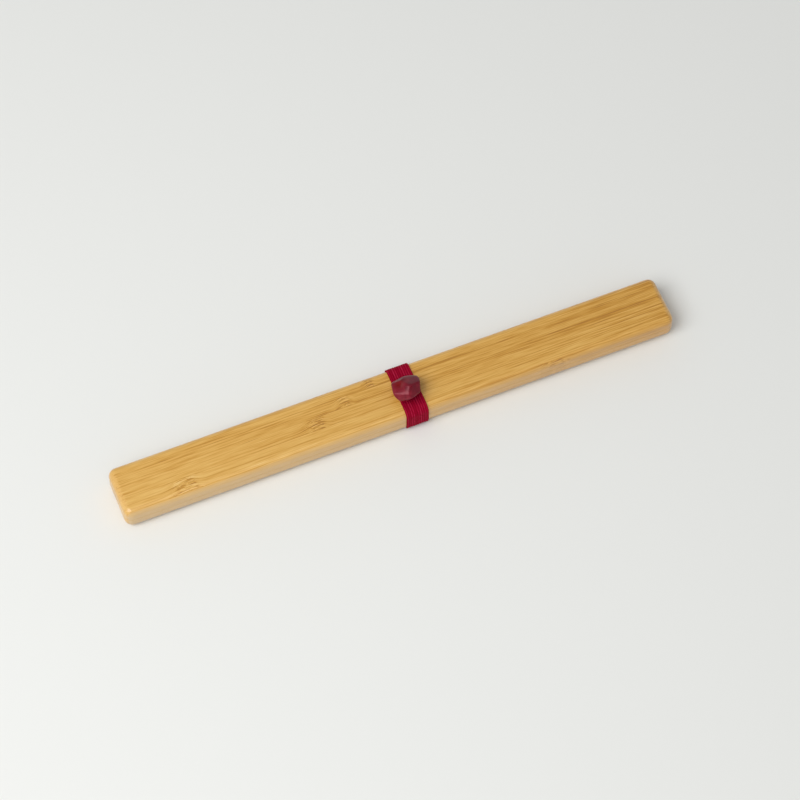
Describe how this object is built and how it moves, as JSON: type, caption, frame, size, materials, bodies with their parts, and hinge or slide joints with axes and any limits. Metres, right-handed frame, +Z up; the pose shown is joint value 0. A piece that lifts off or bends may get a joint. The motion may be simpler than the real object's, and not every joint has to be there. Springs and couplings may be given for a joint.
{
  "type": "bamboo chopsticks in a travel case",
  "caption": "Pair of bamboo chopsticks in a slim two-part bamboo case, held shut by a ribbed elastic band with a bead on it.",
  "frame": {"origin": "middle of the case, on the surface that it lies on, which touches the underside of the elastic band", "axes": "+X along the case towards the chopsticks' handle ends, +Y across it, +Z up through the lid"},
  "size_m": [0.25, 0.0256, 0.0229],
  "materials": {
    "bamboo_case": "vertically laminated bamboo, fine sanded and oiled to a satin sheen",
    "bamboo_sticks": "solid bamboo, sanded smooth and oiled",
    "elastic": "ribbed woven elastic, crimson, slightly glossy yarn",
    "bead_red": "tumbled deep red stone with a waxy polish",
    "thread": "twisted polyester sewing thread, crimson"
  },
  "bodies": {
    "root": {"case_base": "bamboo_case", "case_lid": "bamboo_case", "chopstick_near": "bamboo_sticks", "chopstick_far": "bamboo_sticks", "elastic_band": "elastic", "bead": "bead_red", "bead_thread": "thread"}
  },
  "joints": []
}
